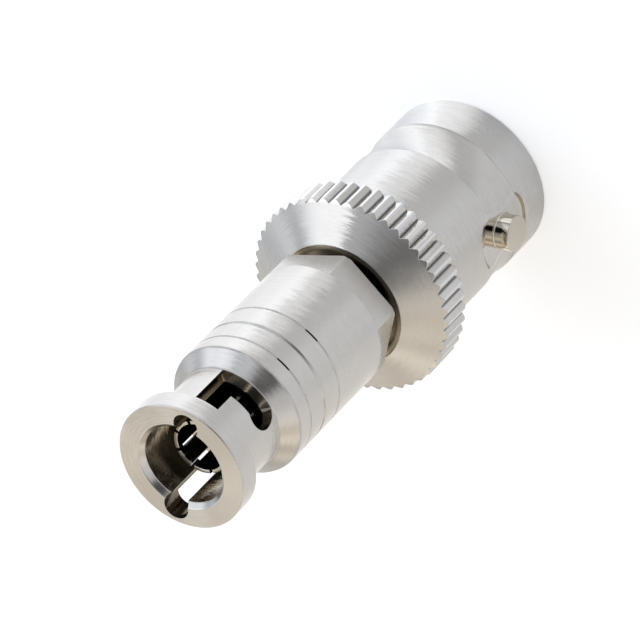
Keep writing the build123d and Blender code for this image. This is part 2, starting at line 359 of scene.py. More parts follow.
def plated_metal(name, colour, shade, roughness, lines=0.42, grain=0.2, edge=0.03, streak=0.85, lean=None):
    """Turned and plated metal. Fine lines run round the axis because the noise reads the height less a
    share of the radius. Each line leans its own way: the normal swings sideways by the noise times lines,
    plus a fine grain, and less so on faces across the axis. A slow noise changes tone and gloss, corners
    are rounded by a small radius in millimetres, and streak sets how far a highlight spreads along the
    axis. Lean gives two heights and the swing at each, for a slanting lay."""
    radius_share, lines_per_mm, drift_per_mm = 1.1, 7.5, 0.75
    made = bpy.data.materials.new(name)
    made.use_nodes = True
    tree = made.node_tree
    tree.nodes.clear()
    out = tree.nodes.new("ShaderNodeOutputMaterial")
    shader = node(tree, "ShaderNodeBsdfPrincipled", Metallic=1.0, Anisotropic=streak)
    shader.inputs["Anisotropic Rotation"].default_value = 0.25
    tree.links.new(shader.outputs[0], out.inputs[0])
    place = vectors(tree, "SCALE", tree.nodes.new("ShaderNodeTexCoord").outputs["Object"], scale=1 / MM)
    x, y, z = separated(tree, place)
    radius = length_of(tree, x, y)

    # Noises: the turning lines, a fine speckle and slow clouds
    along = maths(tree, "SUBTRACT", z, both(tree, radius, radius_share))
    drift = both(tree, x, drift_per_mm), both(tree, y, drift_per_mm)
    ring = combined(tree, both(tree, along, lines_per_mm), *drift)
    turning = noise(tree, ring, 1.0, 2.5, 0.75)
    speckle = noise(tree, place, 14.0, 1.0, 0.5)
    cloud = noise(tree, place, 0.42, 3.0, 0.55)

    # Swing of the normal along the tangent
    true_normal = tree.nodes.new("ShaderNodeNewGeometry").outputs["Normal"]
    facing = true_normal
    if edge:
        facing = node(tree, "ShaderNodeBevel", samples=6, Radius=edge * MM).outputs[0]
    minus_y = both(tree, y, -1.0)
    tangent = combined(tree, maths(tree, "DIVIDE", minus_y, radius), maths(tree, "DIVIDE", x, radius))
    in_world = tree.nodes.new("ShaderNodeVectorTransform")
    tree.links.new(tangent, in_world.inputs[0])
    swing = both(tree, maths(tree, "SUBTRACT", turning, 0.5), lines)
    swing = maths(tree, "ADD", swing, both(tree, maths(tree, "SUBTRACT", speckle, 0.5), grain))
    steepness = maths(tree, "ABSOLUTE", separated(tree, true_normal)[2])
    swing = both(tree, swing, ramp(tree, steepness, 0.15, 0.6, 1.0, 0.28))
    if lean:
        low, high, first, last = lean
        slant = both(tree, ramp(tree, z, low, high, first, last), band(tree, z, low, high, 0.02))
        swing = maths(tree, "ADD", swing, slant)
    sideways = vectors(tree, "SCALE", in_world.outputs[0], scale=swing)
    tilted = vectors(tree, "NORMALIZE", vectors(tree, "ADD", facing, sideways))
    tree.links.new(tilted, shader.inputs["Normal"])

    # Tone and gloss
    uneven = maths(tree, "ADD", both(tree, cloud, 0.5), both(tree, turning, 0.5))
    tree.links.new(toned(tree, uneven, shade, colour, 0.3, 0.7), shader.inputs["Base Color"])
    gloss = ramp(tree, cloud, 0.3, 0.7, roughness * 0.85, roughness * 1.15)
    tree.links.new(gloss, shader.inputs["Roughness"])
    return {
        "material": made, "tree": tree, "shader": shader, "swing": sideways.node,
        "x": x, "y": y, "z": z, "radius": radius,
    }


def white_plastic(name, colour, shade):
    """Turned fluoropolymer: off-white with slight clouds and a faint bump that follows them."""
    made = bpy.data.materials.new(name)
    made.use_nodes = True
    tree = made.node_tree
    shader = tree.nodes["Principled BSDF"]
    shader.inputs["Roughness"].default_value = 0.42
    cloud = noise(tree, tree.nodes.new("ShaderNodeTexCoord").outputs["Object"], 900.0, 3.0, 0.6)
    tree.links.new(toned(tree, cloud, shade, colour), shader.inputs["Base Color"])
    bump = node(tree, "ShaderNodeBump", Strength=0.3, Distance=3.0e-6)
    tree.links.new(cloud, bump.inputs["Height"])
    tree.links.new(bump.outputs[0], shader.inputs["Normal"])
    return made


NICKEL, NICKEL_SHADE = (0.69, 0.66, 0.62), (0.59, 0.56, 0.52)
BRONZE, BLACK = (0.35, 0.295, 0.22), (0.03, 0.027, 0.023)
VALLEY_SHADE, CREST_HIGHLIGHT, OPENING = (0.22, 0.215, 0.21), (0.76, 0.75, 0.74), (0.66, 0.58, 0.44)
SLOT_WALL, KEYWAY_SHADE = (0.68, 0.62, 0.54), (0.2, 0.165, 0.12)
SATIN, MARKS, MARK_HALF = 0.26, (41.0, 53.0), 0.055


def jack_metal():
    """Jack: fine turned outside, polished spot faces and knurl, and a dark opening under the sleeve. The
    knurl has painted shade in its valleys and a painted highlight on its crests.
    """
    metal = plated_metal("satin_nickel", NICKEL, NICKEL_SHADE, SATIN, lean=(*RELIEF, -0.26, 0.22))
    tree, x, y, z, radius = (metal[key] for key in ("tree", "x", "y", "z", "radius"))
    off_stud = length_of(tree, y, maths(tree, "SUBTRACT", z, STUD_Z))
    out = maths(tree, "ABSOLUTE", x)
    on_flat = below(tree, off_stud, FLAT_R + 0.02, 0.02)
    flat = both(tree, on_flat, band(tree, out, FLAT_AT - 0.1, FLAT_AT + 0.03, 0.02))
    paint(metal, flat, roughness=0.06)
    still(metal, flat)
    round_flat = band(tree, off_stud, FLAT_R + 0.015, FLAT_R + 0.17, 0.015)
    wall = both(tree, round_flat, band(tree, out, FLAT_AT + 0.01, SHELL_R - 0.01, 0.01))
    paint(metal, wall, BRONZE, roughness=0.15)
    paint(metal, band(tree, z, DISC[0] + 0.05, DISC[1] + 0.1, 0.03), roughness=0.15)
    cone_level = maths(tree, "ADD", z, both(tree, radius, CONE_SLOPE))
    below_cone = below(tree, cone_level, DISC[1] + CONE_SLOPE * DISC_R - 0.05, 0.03)
    # Painted shade: a dark grey in the knurl's valleys, where the grooves fall into shade
    valley_shade = both(tree, below_cone, band(tree, radius, 5.0, DISC_R - KNURL_DEPTH + 0.03, 0.05))
    paint(metal, both(tree, valley_shade, band(tree, z, DISC[0] + 0.1, CONE_END, 0.05)), VALLEY_SHADE, roughness=0.3)
    # Painted highlight: a light grey on the knurl's crests, where their edges catch the light
    at_rim = band(tree, radius, DISC_R - 0.012, DISC_R + 0.2, 0.012)
    crest = both(tree, at_rim, band(tree, z, DISC[0] + 0.05, DISC[1] - 0.02, 0.03))
    paint(metal, crest, CREST_HIGHLIGHT, roughness=0.2)
    recess = band(tree, z, RECESS_FLOOR - 0.52, CONE_END - 0.03, 0.02)
    paint(metal, both(tree, recess, below(tree, radius, OPENING_R + 0.01, 0.01)), OPENING, roughness=0.3)
    return metal["material"]


def sleeve_metal():
    """Sleeve: fine turned outside, with painted shade in brown in the bore, the slots and the keyways,
    lighter on the slots' rear walls, and short dark marks in two of the grooves. The distance to a keyway's
    middle is taken in axes turned to the keyways."""
    metal = plated_metal("sleeve_nickel", NICKEL, NICKEL_SHADE, SATIN)
    tree, x, y, z, radius = (metal[key] for key in ("tree", "x", "y", "z", "radius"))
    cos, sin = math.cos(math.radians(SLOT_ANGLE)), math.sin(math.radians(SLOT_ANGLE))
    towards = maths(tree, "ADD", both(tree, x, cos), both(tree, y, sin))
    across = maths(tree, "SUBTRACT", both(tree, y, cos), both(tree, x, sin))
    off_key = length_of(tree, maths(tree, "SUBTRACT", maths(tree, "ABSOLUTE", towards), KEYWAY_AT), across)
    inside = both(tree, below(tree, radius, NECK_R - 0.04, 0.02), below(tree, z, SLEEVE[1] - 0.33, 0.04))
    near_key = below(tree, off_key, KEYWAY_R + 0.01, 0.01)
    key = both(tree, near_key, band(tree, z, NECK[0] + 0.1, SLEEVE[1] - 0.05, 0.04))
    # Painted shade: brown in the bore and the slots, a lighter tan on the slots' rear walls, dark brown in
    # the keyways
    paint(metal, maths(tree, "MAXIMUM", inside, key), BRONZE, roughness=0.22)
    paint(metal, both(tree, inside, band(tree, z, NECK[0] - 0.05, NECK[0] + 0.03, 0.02)), SLOT_WALL)
    paint(metal, key, KEYWAY_SHADE)
    marks = band(tree, maths(tree, "ARCTAN2", y, x), *np.radians(MARKS).tolist(), 0.01)
    for height in (GROOVES[0][0], GROOVES[2][0]):
        paint(metal, both(tree, marks, band(tree, z, height - MARK_HALF, height + MARK_HALF, 0.01)), BLACK)
    return metal["material"]


def stem_metal():
    """Stem: bronze where it shows in the opening, and painted black towards the neck as painted shade under
    the sleeve.
    """
    metal = plated_metal("stem_nickel", (0.62, 0.55, 0.45), (0.5, 0.44, 0.36), 0.3)
    # Painted shade: black on the neck, which lies in the shade under the sleeve
    paint(metal, below(metal["tree"], metal["radius"], STEM_NECK_R + 0.15, 0.3), BLACK)
    return metal["material"]


def contact_metal():
    """Ground contact: bright at its mouth, and painted black further in as painted shade inside the sleeve.
    """
    metal = plated_metal("contact_nickel", (0.70, 0.67, 0.62), (0.6, 0.57, 0.52), 0.2, edge=0.015)
    # Painted shade: black on all but the mouth of the contact, which lies in the shade inside the sleeve
    paint(metal, below(metal["tree"], metal["z"], GROUND_END - 0.12, 0.05), BLACK)
    return metal["material"]


def stud_metal():
    """Stud: polished, with no turning lines."""
    shades = (0.68, 0.62, 0.53), (0.60, 0.54, 0.45)
    return plated_metal("stud_nickel", *shades, 0.08, lines=0.0, grain=0.03, streak=0.0)["material"]


satin_nickel, sleeve_nickel = jack_metal(), sleeve_metal()
stem_nickel, contact_nickel = stem_metal(), contact_metal()
stud_nickel = stud_metal()
gold = plated_metal("contact_gold", (0.86, 0.62, 0.26), (0.76, 0.53, 0.2), 0.24, edge=0.015)
steel = plated_metal("spring_steel", (0.56, 0.55, 0.54), (0.45, 0.44, 0.43), 0.3, edge=0.0)
contact_gold, spring_steel = gold["material"], steel["material"]
insulator_white = white_plastic("insulator_white", (0.90, 0.89, 0.86), (0.82, 0.81, 0.78))


# Jack shell with its knurled disc
def soft_min(a, b, ease):
    """Lower of two numbers with the corner between them eased: minus the log of their summed exponentials."""
    return -np.logaddexp(-a / ease, -b / ease) * ease


def knurl_radius(turn):
    """Radius of the knurled rim: the disc's radius, cut by straight-flanked grooves whose depth falls to
    nothing at the mouth, with the crest's corners eased."""
    pitch = 2 * np.pi / KNURL_TEETH
    offset = (turn - np.radians(KNURL_ANGLE) + pitch / 2) % pitch - pitch / 2
    across = np.abs(offset) * DISC_R
    flank = DISC_R - KNURL_DEPTH + across * KNURL_DEPTH / KNURL_HALF
    return soft_min(flank, DISC_R, 0.012)


def jack_cut(radius, height, turn):
    """Knurl on the disc and a spot face round each stud. On the disc the rows between the rear corner and
    the cone are stretched to the height at which the cone meets the knurl, so the zigzag edge follows the
    grid. Round a stud the radius is at most the flat's distance over the cosine of the angle from the
    stud, and past the spot face's edge the distance grows along the slope of its wall."""
    rim = knurl_radius(turn)
    meet = DISC[1] + (DISC_R - rim) * CONE_SLOPE
    corner = DISC[0] + REAR_CORNER
    on_side = (height >= DISC[0] - TINY) & (height <= DISC[1] + TINY) & (radius > SHELL_R + 0.2)
    rear = on_side & (height < corner)
    side = on_side & ~rear
    share = np.clip((height - corner) / (DISC[1] - corner), 0, 1)
    height = np.where(side, corner + share * (meet - corner), height)
    radius = np.where(side, np.minimum(radius, rim), radius)
    radius = np.where(rear, np.minimum(radius, rim - np.maximum(0, DISC_R - radius) * 0.6), radius)
    on_cone = (height > DISC[1] + TINY) & (height <= CONE_END) & (radius > CONE_R - 0.001) & ~side
    cone_share = np.clip((DISC_R - radius) / (DISC_R - CONE_R), 0, 1)
    radius = np.where(on_cone, rim + (CONE_R - rim) * cone_share, radius)
    height = np.where(on_cone, meet + (CONE_END - meet) * cone_share, height)
    for stud in (0.0, np.pi):
        outer = (radius > BORE_R + 0.3) & (height < DISC[0] - 0.3)
        away = np.cos(turn - stud)
        facing = outer & (away > 0.5)
        away = np.maximum(away, 0.5)
        reach = FLAT_AT / away
        for _ in range(6):
            across = np.hypot(reach * np.sin(turn - stud), height - STUD_Z)
            over = np.logaddexp(0, (across - FLAT_R) / 0.03) * 0.03
            reach = (FLAT_AT + over / math.tan(math.radians(FLAT_SLOPE))) / away
        blended = soft_min(radius, reach, 0.008)
        radius = np.where(facing, np.minimum(radius, blended), radius)
    return radius, height


# Profile up to the relief. Its last corner only guides the one before it, and is left off
shell_profile = rounded(
    [
        (FLANGE_HOLE_R, RECESS_FLOOR), (FLANGE_HOLE_R, INSULATOR_SEAT), (BEAD_HOLE_R, INSULATOR_SEAT),
        (BEAD_HOLE_R, BORE_FLOOR), (BORE_R, BORE_FLOOR), (BORE_R, MOUTH_BEVEL), (BORE_R + MOUTH_BEVEL, 0.0),
        (SHELL_R - RIM_BEVEL, 0.0), (SHELL_R, RIM_BEVEL), (SHELL_R, RELIEF[0]),
    ],
    [0.05, 0.05, 0.05, 0.05, 0.1, 0.06, 0.06, 0.04, 0.04, 0.3],
)[:-ARC_POINTS]
# The relief's arc: a parabola, and a short lead-in that falls away from the rim
relief = np.linspace(RELIEF[0] + 0.03, RELIEF[1] - 0.03, RELIEF_ROWS)
middle, half = (RELIEF[0] + RELIEF[1]) / 2, (RELIEF[1] - RELIEF[0]) / 2
hollow = HOLLOW * (1 - ((relief - middle) / half) ** 2)
lead_in = 0.03 * np.exp((RELIEF[0] - relief) / 0.12)
relief_profile = np.stack([BARREL_R - 0.01 - hollow + lead_in, relief], -1)
# Profile of the disc, cone and opening. Its first and last corners only guide their neighbours
disc_profile = rounded(
    [
        (BARREL_R, 7.0), (BARREL_R, DISC[0]), (DISC_R - RIM_BEVEL, DISC[0]), (DISC_R, DISC[0] + RIM_BEVEL),
        (DISC_R, DISC[1]), (CONE_R, CONE_END), (OPENING_R, CONE_END), (OPENING_R, CONE_END - LIP_FROM),
        (OPENING_R - LIP, CONE_END - LIP_FROM), (OPENING_R - LIP, CONE_END - LIP_TO),
        (OPENING_R, CONE_END - LIP_TO), (OPENING_R, RECESS_FLOOR), (FLANGE_HOLE_R, RECESS_FLOOR),
        (FLANGE_HOLE_R, 9.5),
    ],
    [0.05, 0.03, 0.05, 0.05, 0.035, 0.03, 0.02, 0.02, 0.04, 0.02, 0.02, 0.04, 0.03, 0.03],
)[ARC_POINTS:-ARC_POINTS]
ends = [[SHELL_R, RELIEF[0]]], [[BARREL_R, RELIEF[1]]]
jack_profile = np.concatenate([shell_profile, ends[0], relief_profile, ends[1], disc_profile])
round_stud = (jack_profile[:, 0] > SHELL_R - 0.1) & (jack_profile[:, 1] < STUD_Z + FLAT_R)
jack_profile = subdivided(jack_profile, np.where(round_stud, 0.2, 2.0))
# Angles round one tooth of the knurl, in degrees from the middle of a groove
tooth = np.array([0, 0.35, 1.25, 2.15, 3.05, 3.45, 4.05, 4.45, 5.35, 6.25, 7.15])
jack_angles = (np.arange(KNURL_TEETH)[:, None] * 360 / KNURL_TEETH + tooth[None, :]).ravel()
jack = turned("jack_shell", jack_profile, np.radians(jack_angles), KNURL_ANGLE, jack_cut)
finished(jack, "adapter", satin_nickel, ["jack_body"])

# Studs, turned upright and then laid along X
stud_foot, ring_r = BORE_R + 0.12, STUD_R + STUD_RING
stud_profile = rounded(
    [
        (AXIS_R, stud_foot), (STUD_R, stud_foot), (STUD_R, FLAT_AT - 0.04), (ring_r, FLAT_AT - 0.02),
        (ring_r, FLAT_AT + 0.02), (STUD_R, FLAT_AT + 0.05), (STUD_R, STUD_REACH), (AXIS_R, STUD_REACH),
    ],
    [0, 0.02, 0.01, 0.01, 0.02, 0.02, 0.07, 0],
    5,
)
for number, sense in ((1, 1), (2, -1)):
    stud = closed_poles(turned(f"stud_{number}", subdivided(stud_profile, 0.3), 128))
    stud.data.transform(Matrix(((0, 0, sense, 0), (0, 1, 0, 0), (-sense, 0, 0, STUD_Z * MM), (0, 0, 0, 1))))
    finished(stud, "adapter", stud_nickel, [f"bayonet_stud_{number}"])


# Coupling sleeve
def sleeve_cut(radius, height, turn):
    """Hexagon: below its front end the radius is at most the distance to the flat, apothem / cos(angle
    from the flat's middle), and a cone eases its rear corners."""
    offset = (turn - np.radians(HEX_ANGLE + 30) + np.pi / 6) % (np.pi / 3) - np.pi / 6
    flat = SLEEVE_R * math.cos(math.pi / 6) / np.cos(offset)
    ease = SLEEVE_R - HEX_EASE + (height - SLEEVE[0])
    hexed = (height < HEX_FRONT - TINY) & (radius > CHAMBER_R + 0.4)
    return np.where(hexed, np.minimum(np.minimum(radius, flat), ease), radius), height


def sleeve_profile():
    """Closed profile of the sleeve: chamber, mouth, flange, neck, shoulder, three V grooves and the
    hexagon, with rows added at the hexagon's rear end, where its corners are eased."""
    ease_rows = 20
    points = [
        (CHAMBER_R, SLEEVE[0]), (CHAMBER_R + 0.45, SLEEVE[0]), (SLEEVE_R, SLEEVE[0]),
        (SLEEVE_R, HEX_FRONT - 0.001), (SLEEVE_R, HEX_FRONT + 0.001),
    ]
    sizes = [0.03, 0.0, 0.0, 0.0, 0.0]
    for at, width, depth in GROOVES:
        points += [(SLEEVE_R, at - width / 2), (SLEEVE_R - depth, at), (SLEEVE_R, at + width / 2)]
        sizes += [0.025, 0.01, 0.025]
    points += [
        (SLEEVE_R, SHOULDER), (NECK_R, NECK[0]), (NECK_R, NECK[1]), (FLANGE_R, NECK[1]),
        (FLANGE_R, SLEEVE[1]), (MOUTH_R, SLEEVE[1]), (SLEEVE_BORE_R, SLEEVE[1] - MOUTH_DEPTH),
        (SLEEVE_BORE_R, CHAMBER_END), (CHAMBER_R, CHAMBER_END),
    ]
    sizes += [0.1, 0.12, 0.06, 0.07, 0.09, 0.05, 0.06, 0.03, 0.05]
    whole = rounded(points, sizes)
    rows = np.linspace(SLEEVE[0] + 0.012, SLEEVE[0] + 0.7, ease_rows)
    corner = np.argmin(np.abs(whole[:, 0] - SLEEVE_R) + np.abs(whole[:, 1] - SLEEVE[0]))
    added = np.stack([np.full(ease_rows, SLEEVE_R), rows], -1)
    return np.concatenate([whole[: corner + 1], added, whole[corner + ARC_POINTS :]])


def circle(radius, steps):
    """Points round a circle: radius times cosine and sine."""
    turn = np.arange(steps) * 2 * np.pi / steps
    return radius * np.stack([np.cos(turn), np.sin(turn)], -1)


def closed_strips(index):
    """Quads between neighbours in a grid of point numbers whose last row meets its first."""
    after = np.roll(index, -1, 0)
    quads = np.stack([index[:, :-1], index[:, 1:], after[:, 1:], after[:, :-1]], -1)
    return quads.reshape(-1, 4).tolist()


def cutter(name, outline, low, high):
    """Closed prism whose outline, given as x, y points in millimetres, runs from one height to another."""
    n = len(outline)
    base, top = (np.concatenate([outline, np.full((n, 1), height)], 1) for height in (low, high))
    faces = [(i, (i + 1) % n, n + (i + 1) % n, n + i) for i in range(n)]
    faces += [tuple(range(n))[::-1], tuple(range(n, 2 * n))]
    return outwards(face_mesh(name, np.concatenate([base, top]), faces))


def sweep_cutter(name, inner, outer, low, high, first, last, steps=60):
    """Closed block between two radii and two heights, carried round the axis from one angle to another."""
    turn = np.radians(np.linspace(first, last, steps))
    corners = np.array([(inner, low), (outer, low), (outer, high), (inner, high)])
    grid = round_axis(corners[:, :1], corners[:, 1:], turn)
    index = np.arange(4 * steps).reshape(4, steps)
    faces = closed_strips(index) + [index[:, 0].tolist(), index[::-1, -1].tolist()]
    return outwards(face_mesh(name, grid.reshape(-1, 3), faces))


def radial_cutter(name, size, near, far, angle, height, steps=48):
    """Round bar that lies along a radius at an angle, from a near to a far distance, at a height."""
    made = cutter(name, circle(size, steps), near, far)
    lie = Matrix.Rotation(math.radians(angle), 4, "Z") @ Matrix.Rotation(math.pi / 2, 4, "Y")
    made.data.transform(Matrix.Translation((0, 0, height * MM)) @ lie)
    return outwards(made)


def cut_away(piece, tools):
    """Takes each tool out of a piece with an exact boolean, then removes the tools."""
    for tool in tools:
        step = piece.modifiers.new(tool.name, "BOOLEAN")
        step.operation, step.solver, step.object = "DIFFERENCE", "EXACT", tool
        bpy.context.view_layer.update()
        cut = bpy.data.meshes.new_from_object(piece.evaluated_get(bpy.context.evaluated_depsgraph_get()))
        piece.modifiers.clear()
        piece.data = cut
    for tool in tools:
        bpy.data.objects.remove(tool)


sleeve = turned("coupling_body", subdivided(sleeve_profile(), 0.5), 360, HEX_ANGLE, sleeve_cut)
slot_top, end_r = NECK[0] + SLOT_W, (SLOT_W + DETENT) / 2
tools = []
for slot in (0, 180):
    key = SLOT_ANGLE + slot
    spot = KEYWAY_AT * np.array([math.cos(math.radians(key)), math.sin(math.radians(key))])
    slot_end = key - SLOT_SWEEP
    tools += [
        cutter(f"keyway_{slot}", spot + circle(KEYWAY_R, 64), NECK[0], SLEEVE[1] + 0.5),
        sweep_cutter(f"slot_{slot}", CUT_FROM, CUT_TO, NECK[0] + 0.0005, slot_top, slot_end, key + 2),
        radial_cutter(f"slot_end_{slot}", end_r, CUT_FROM - 0.1, CUT_TO, slot_end, NECK[0] + end_r),
    ]
cut_away(sleeve, tools)
finished(sleeve, "sleeve", sleeve_nickel, ["coupling_sleeve"])


# Contacts, stem and insulators
def fingers(name, profile, count, width, angle, inner):
    """Ring of spring fingers: the profile carried round between neighbouring slits, each finger with
    capped ends."""
    half = math.degrees(width / 2 / inner)
    grid_shape = len(profile), FINGER_POINTS
    size = grid_shape[0] * grid_shape[1]
    points, faces = [], []
    for number in range(count):
        first = angle + 360 / count * number + half
        turn = np.radians(np.linspace(first, first + 360 / count - 2 * half, FINGER_POINTS))[None, :]
        points.append(round_axis(profile[:, :1], profile[:, 1:], turn).reshape(-1, 3))
        index = size * number + np.arange(size).reshape(grid_shape)
        faces += closed_strips(index) + [index[::-1, 0].tolist(), index[:, -1].tolist()]
    return face_mesh(name, np.concatenate(points), faces)


def block(inner, outer, low, high):
    """Corners of a ring's section between two radii and two heights."""
    return [(inner, low), (outer, low), (outer, high), (inner, high)]


tip = GROUND_END - SLIT_L
finger_profile = rounded(
    [
        (GROUND_IN, tip), (GROUND_OUT, tip), (GROUND_OUT, GROUND_END - SWELL_FROM),
        (GROUND_OUT + SWELL, GROUND_END - SWELL_FULL), (GROUND_OUT + SWELL, GROUND_END),
        (GROUND_IN, GROUND_END),
    ],
    [0.01, 0.01, 0.3, 0.2, 0.05, 0.05],
)
finger_ring = fingers("ground_fingers", finger_profile, SLITS, SLIT_W, SLIT_ANGLE, GROUND_IN)
finished(finger_ring, "adapter", contact_nickel, ["ground_contact"])
tube = turned("ground_tube", rounded(block(GROUND_IN, GROUND_OUT, GROUND_START, tip), 0.01), 128)
finished(tube, "adapter", contact_nickel)

stem_profile = [
    (STEM_BORE_R, STEM_FOOT), (STEM_FOOT_R, STEM_FOOT), (STEM_FOOT_R, RECESS_FLOOR), (COLLAR_R, RECESS_FLOOR),
    (COLLAR_R, RECESS_FLOOR + COLLAR_H), (STEM_NECK_R, RECESS_FLOOR + COLLAR_H), (STEM_NECK_R, WAVES[1]),
    (GUIDE_R, WAVES[1]), (GUIDE_R, CHAMBER_END), (STEM_BORE_R, CHAMBER_END),
]
stem = turned("stem", rounded(stem_profile, 0.05), 192)
finished(stem, "adapter", stem_nickel, ["plug_stem"])

jack_bead_profile = [
    (BEAD_ROOM_R, BEAD_START), (BEAD_R, BEAD_START), (BEAD_R, INSULATOR_SEAT),
    (BEAD_FLANGE_R, INSULATOR_SEAT), (BEAD_FLANGE_R, STEM_FOOT), (BEAD_BORE_R, STEM_FOOT),
    (BEAD_BORE_R, SOCKET_BACK), (BEAD_ROOM_R, SOCKET_BACK),
]
jack_bead = turned("jack_bead", rounded(jack_bead_profile, 0.06), 160)
finished(jack_bead, "adapter", insulator_white, ["jack_insulator"])
plug_bead_profile = rounded(block(BEAD_BORE_R, PLUG_BEAD_R, GROUND_START, PIN_SHOULDER), 0.04)
plug_bead = turned("plug_bead", plug_bead_profile, 128)
finished(plug_bead, "adapter", insulator_white, ["front_insulator"])

pin_profile = rounded(
    [
        (AXIS_R, TAIL_FLOOR), (PIN_ROOT_R, TAIL_FLOOR), (PIN_ROOT_R, TAIL_END), (PIN_R, TAIL_END),
        (PIN_R, PIN_SHOULDER), (POINT_R, PIN_SHOULDER), (POINT_R, POINT_FROM), (TIP_R, POINT_END),
        (AXIS_R, POINT_END),
    ],
    [0, 0.01, 0.01, 0.03, 0.04, 0.02, 0.08, 0.04, 0],
)
pin = closed_poles(turned("centre_pin", pin_profile, 64))
finished(pin, "adapter", contact_gold, ["plug_pin"])
socket_profile = rounded(
    [
        (SOCKET_IN, SOCKET_MOUTH + MOUTH_EASE), (SOCKET_IN + MOUTH_EASE, SOCKET_MOUTH),
        (SOCKET_OUT, SOCKET_MOUTH), (SOCKET_OUT, SLIT_END), (SOCKET_IN, SLIT_END),
    ],
    [0.03, 0.03, 0.06, 0.01, 0.01],
)
socket = fingers("socket_fingers", socket_profile, 4, SOCKET_SLIT, 0.0, SOCKET_IN)
finished(socket, "adapter", contact_gold, ["jack_socket_contact"])
root_profile = [
    (AXIS_R, SOCKET_FLOOR), (SOCKET_IN, SOCKET_FLOOR), (SOCKET_IN, SLIT_END), (SOCKET_OUT, SLIT_END),
    (SOCKET_OUT, SOCKET_BACK), (TAIL_R, SOCKET_BACK), (TAIL_R, TAIL_END), (TAIL_BORE_R, TAIL_END),
    (TAIL_BORE_R, TAIL_FLOOR), (AXIS_R, TAIL_FLOOR),
]
socket_root = closed_poles(turned("socket_root", rounded(root_profile, 0.02), 96))
finished(socket_root, "adapter", contact_gold)


def wave_washer(number, steps=144):
    """Wave washer: a flat ring's section carried round the axis while its height rises and falls three
    times; the two washers' waves are opposed."""
    section = rounded(block(*WAVE_R, -WAVE_THICK / 2, WAVE_THICK / 2), 0.03)
    middle, sense = WAVES[0] + WAVE_H * (number - 0.5), (1, -1)[number - 1]
    turn = np.arange(steps)[None, :] * 2 * np.pi / steps
    height = section[:, 1:] + middle + sense * (WAVE_H - WAVE_THICK) / 2 * np.cos(3 * turn)
    spring = grid_mesh(f"wave_spring_{number}", round_axis(section[:, :1], height, turn))
    finished(spring, "adapter", spring_steel, [f"wave_washer_{number}"])
    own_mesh(spring)


wave_washer(1)
wave_washer(2)

# Solids of the frame that stay as they are and only get a material
plain_solids = {
    "rear_insulator": insulator_white, "thrust_washer": spring_steel, "retaining_ring": spring_steel,
}
for name, material in plain_solids.items():
    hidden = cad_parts[name]
    hidden.data.materials.clear()
    hidden.data.materials.append(material)

# Camera. The part's axis runs down the picture's left diagonal, 46.5 degrees off the line to the lens,
# and the stud stands 47.5 degrees round from the side that faces the lens
off_lens, roll, facing = math.radians(46.5), 0.0060, math.radians(47.5)
right_up = Vector((1, 1, 0)) / math.sqrt(2)
right_down = Vector((1, -1, 0)) / math.sqrt(2)
into = Vector((0, 0, -1))


def diagonal(v, u, depth):
    """Camera-space vector from its parts along the two diagonals and into the picture."""
    return right_up * v + right_down * u + into * depth


sin_off, cos_off = math.sin(off_lens), math.cos(off_lens)
axis = diagonal(-sin_off * math.cos(roll), sin_off * math.sin(roll), -cos_off)
side = diagonal(math.sin(roll), math.cos(roll), 0)
front = diagonal(cos_off * math.cos(roll), -cos_off * math.sin(roll), -sin_off)
part_x = math.cos(facing) * front + math.sin(facing) * side
part_y = math.sin(facing) * front - math.cos(facing) * side
to_part = Matrix((part_x, part_y, axis))
foot = diagonal(11.284, 0.153, 322.4) * MM
camera = bpy.data.objects.new("camera", bpy.data.cameras.new("camera"))
camera.data.lens, camera.data.sensor_width = 331.875, 36.0
camera.data.clip_start, camera.data.clip_end = 0.01, 10.0
camera.matrix_world = to_part.to_4x4()
camera.location = -(to_part @ foot)
bpy.context.scene.collection.objects.link(camera)
bpy.context.scene.camera = camera

# Floor and sky
to_side, to_front = (to_part @ side).normalized(), (to_part @ front).normalized()
up = Vector((0, 0, 1))


def around(degrees, height=0.0):
    """Direction at an angle from the front towards the side, raised by an elevation, both in degrees."""
    angle, rise = math.radians(degrees), math.radians(height)
    return (to_side * math.sin(angle) + to_front * math.cos(angle)) * math.cos(rise) + up * math.sin(rise)


def soft_box(tree, direction, towards, core, rim, colour):
    """Colour that fills a soft round patch: full inside the core angle, nothing beyond the rim angle."""
    across = vectors(tree, "DOT_PRODUCT", direction, towards)
    low, high = math.cos(math.radians(rim)), math.cos(math.radians(core))
    return vectors(tree, "SCALE", colour, scale=ramp(tree, across, low, high, 0.0, 1.0, "SMOOTHSTEP"))


def total(tree, parts):
    """Sum of several colours."""
    result = parts[0]
    for part in parts[1:]:
        result = vectors(tree, "ADD", result, part)
    return result


# Studio lights, each a soft round patch of the sky: angle from the front, elevation, the angle from its
# middle within which it is full, the angle at which it ends, tint, strength
ICY, COOL, PLAIN, WARM = (0.85, 0.97, 1.15), (0.93, 1.0, 1.11), (0.98, 1.0, 1.04), (1.07, 1.0, 0.89)
LOW_WALL = [(angle, 16, 4, 27, COOL, 0.7) for angle in (-150, -120, -90)]
LOW_WALL += [(angle, 16, 4, 27, COOL, 0.55) for angle in (-60, -30)]
LOW_WALL += [(angle, 16, 4, 27, PLAIN, 0.55) for angle in (0, 30, 60)]
LOW_WALL += [(angle, 16, 4, 27, WARM, 0.65) for angle in (90, 120, 150, 180)]
LEFT_LIGHTS = [(-140, 46, 4, 30, COOL, 0.3), (-60, 46, 4, 30, COOL, 0.65)]
LEFT_LIGHTS += [(-92, 28, 9, 16, COOL, 0.15), (-32, 50, 6, 13, PLAIN, 0.15)]
RIGHT_LIGHTS = [(60, 46, 4, 30, PLAIN, 0.65), (100, 46, 4, 30, WARM, 0.5), (140, 46, 4, 30, WARM, 0.5)]
